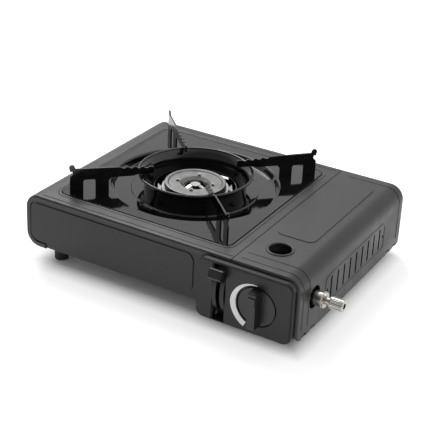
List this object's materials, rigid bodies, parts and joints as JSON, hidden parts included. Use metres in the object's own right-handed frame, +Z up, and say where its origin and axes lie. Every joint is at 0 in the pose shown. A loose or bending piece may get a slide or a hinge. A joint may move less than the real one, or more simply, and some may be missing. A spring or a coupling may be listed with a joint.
{
  "type": "portable cassette gas stove",
  "caption": "Low portable gas stove with round burner, wind ring, pan supports, drip pan, cassette bay under a hinged lid, knob, lock lever and side hose inlet.",
  "frame": {"origin": "middle of the overall box of the stove at rest, at the level of the table", "axes": "+X from the left side to the cassette side with the hose inlet, +Y from the front to the back, +Z up"},
  "size_m": [0.373, 0.2824, 0.1166],
  "materials": {
    "body_coat": "fine-textured satin black powder coat",
    "front_coat": "satin dark grey coat",
    "floor_coat": "plain dark coat",
    "zinc_steel": "zinc-plated sheet",
    "panel_plastic": "moulded dark grey",
    "scale_print": "pale print",
    "foot_rubber": "matt black",
    "screw_steel": "zinc-plated",
    "cast_alloy": "die cast",
    "cap_steel": "pressed grey steel",
    "bright_steel": "bright",
    "jet_brass": "turned",
    "pipe_copper": "drawn copper",
    "nickel_brass": "nickel-plated brass",
    "igniter_plastic": "dark red-brown moulding",
    "lead_sleeve": "pale silicone",
    "white_ceramic": "glazed ceramic",
    "black_enamel": "glossy black enamel",
    "ring_coat": "satin heat-proof coat",
    "support_enamel": "satin black enamel",
    "knob_plastic": "moulded satin black",
    "seal_cream": "cream seal"
  },
  "bodies": {
    "case": {"main_housing": "body_coat", "front_plate": "front_coat", "back_plate": "front_coat", "burner_floor": "floor_coat", "bay_floor": "floor_coat", "bay_partition": "zinc_steel", "control_panel": "panel_plastic", "flame_scale": "scale_print", "feet": "foot_rubber", "foot_screws": "screw_steel", "plate_screws": "screw_steel", "hinge_pins": "screw_steel", "burner_bracket": "zinc_steel", "burner_bowl": "cast_alloy", "burner_cap": "cap_steel", "burner_star": "bright_steel", "cap_rivets": "bright_steel", "gas_jet": "jet_brass", "gas_pipe": "pipe_copper", "valve_body": "cast_alloy", "diaphragm_cover": "zinc_steel", "cover_screws": "screw_steel", "valve_bracket": "zinc_steel", "inlet_stub": "nickel_brass", "igniter": "igniter_plastic", "ignition_lead": "lead_sleeve", "electrode_ceramic": "white_ceramic", "electrode_pin": "bright_steel", "electrode_bracket": "zinc_steel", "lever_bracket": "zinc_steel", "pivot_pin": "screw_steel", "lever_spring": "bright_steel"},
    "cassette_lid": {"lid": "body_coat"},
    "pan_set": {"drip_pan": "black_enamel", "wind_ring": "ring_coat", "pan_support_front": "support_enamel", "pan_support_right": "support_enamel", "pan_support_back": "support_enamel", "pan_support_left": "support_enamel"},
    "gas_knob": {"knob": "knob_plastic", "valve_spindle": "jet_brass"},
    "lock_lever": {"lever_plate": "zinc_steel", "lever_grip": "knob_plastic"},
    "push_bar": {"cassette_pusher": "zinc_steel"},
    "hose_union": {"seal_washer": "seal_cream", "hose_tail": "nickel_brass"}
  },
  "joints": [
    {"name": "lid_hinge", "type": "hinge", "parent": "case", "child": "cassette_lid", "pos_m": [0.1503, 0.01025, 0.0136], "axis": [0, 1, 0], "range_deg": [0, 95]},
    {"name": "hose_union_slide", "type": "slide", "parent": "case", "child": "hose_union", "axis": [1, 0, 0], "range_m": [0, 0.11]},
    {"name": "pan_lift", "type": "slide", "parent": "case", "child": "pan_set", "axis": [0, 0, 1], "range_m": [0, 0.07]},
    {"name": "knob_turn", "type": "hinge", "parent": "case", "child": "gas_knob", "pos_m": [0.1105, -0.12075, 0.0455], "axis": [0, -1, 0], "range_deg": [0, 135]},
    {"name": "pusher_slide", "type": "slide", "parent": "case", "child": "push_bar", "axis": [0, -1, 0], "range_m": [0, 0.008]},
    {"name": "lever_swing", "type": "hinge", "parent": "case", "child": "lock_lever", "pos_m": [0.0665, -0.08825, 0.0471], "axis": [1, 0, 0], "range_deg": [0, 54.2]}
  ],
  "couplings": [
    {"joint": "hose_union_slide", "follows": "lid_hinge", "m_per_rad": 0.065},
    {"joint": "lever_swing", "follows": "pusher_slide", "rad_per_m": 117.81}
  ]
}
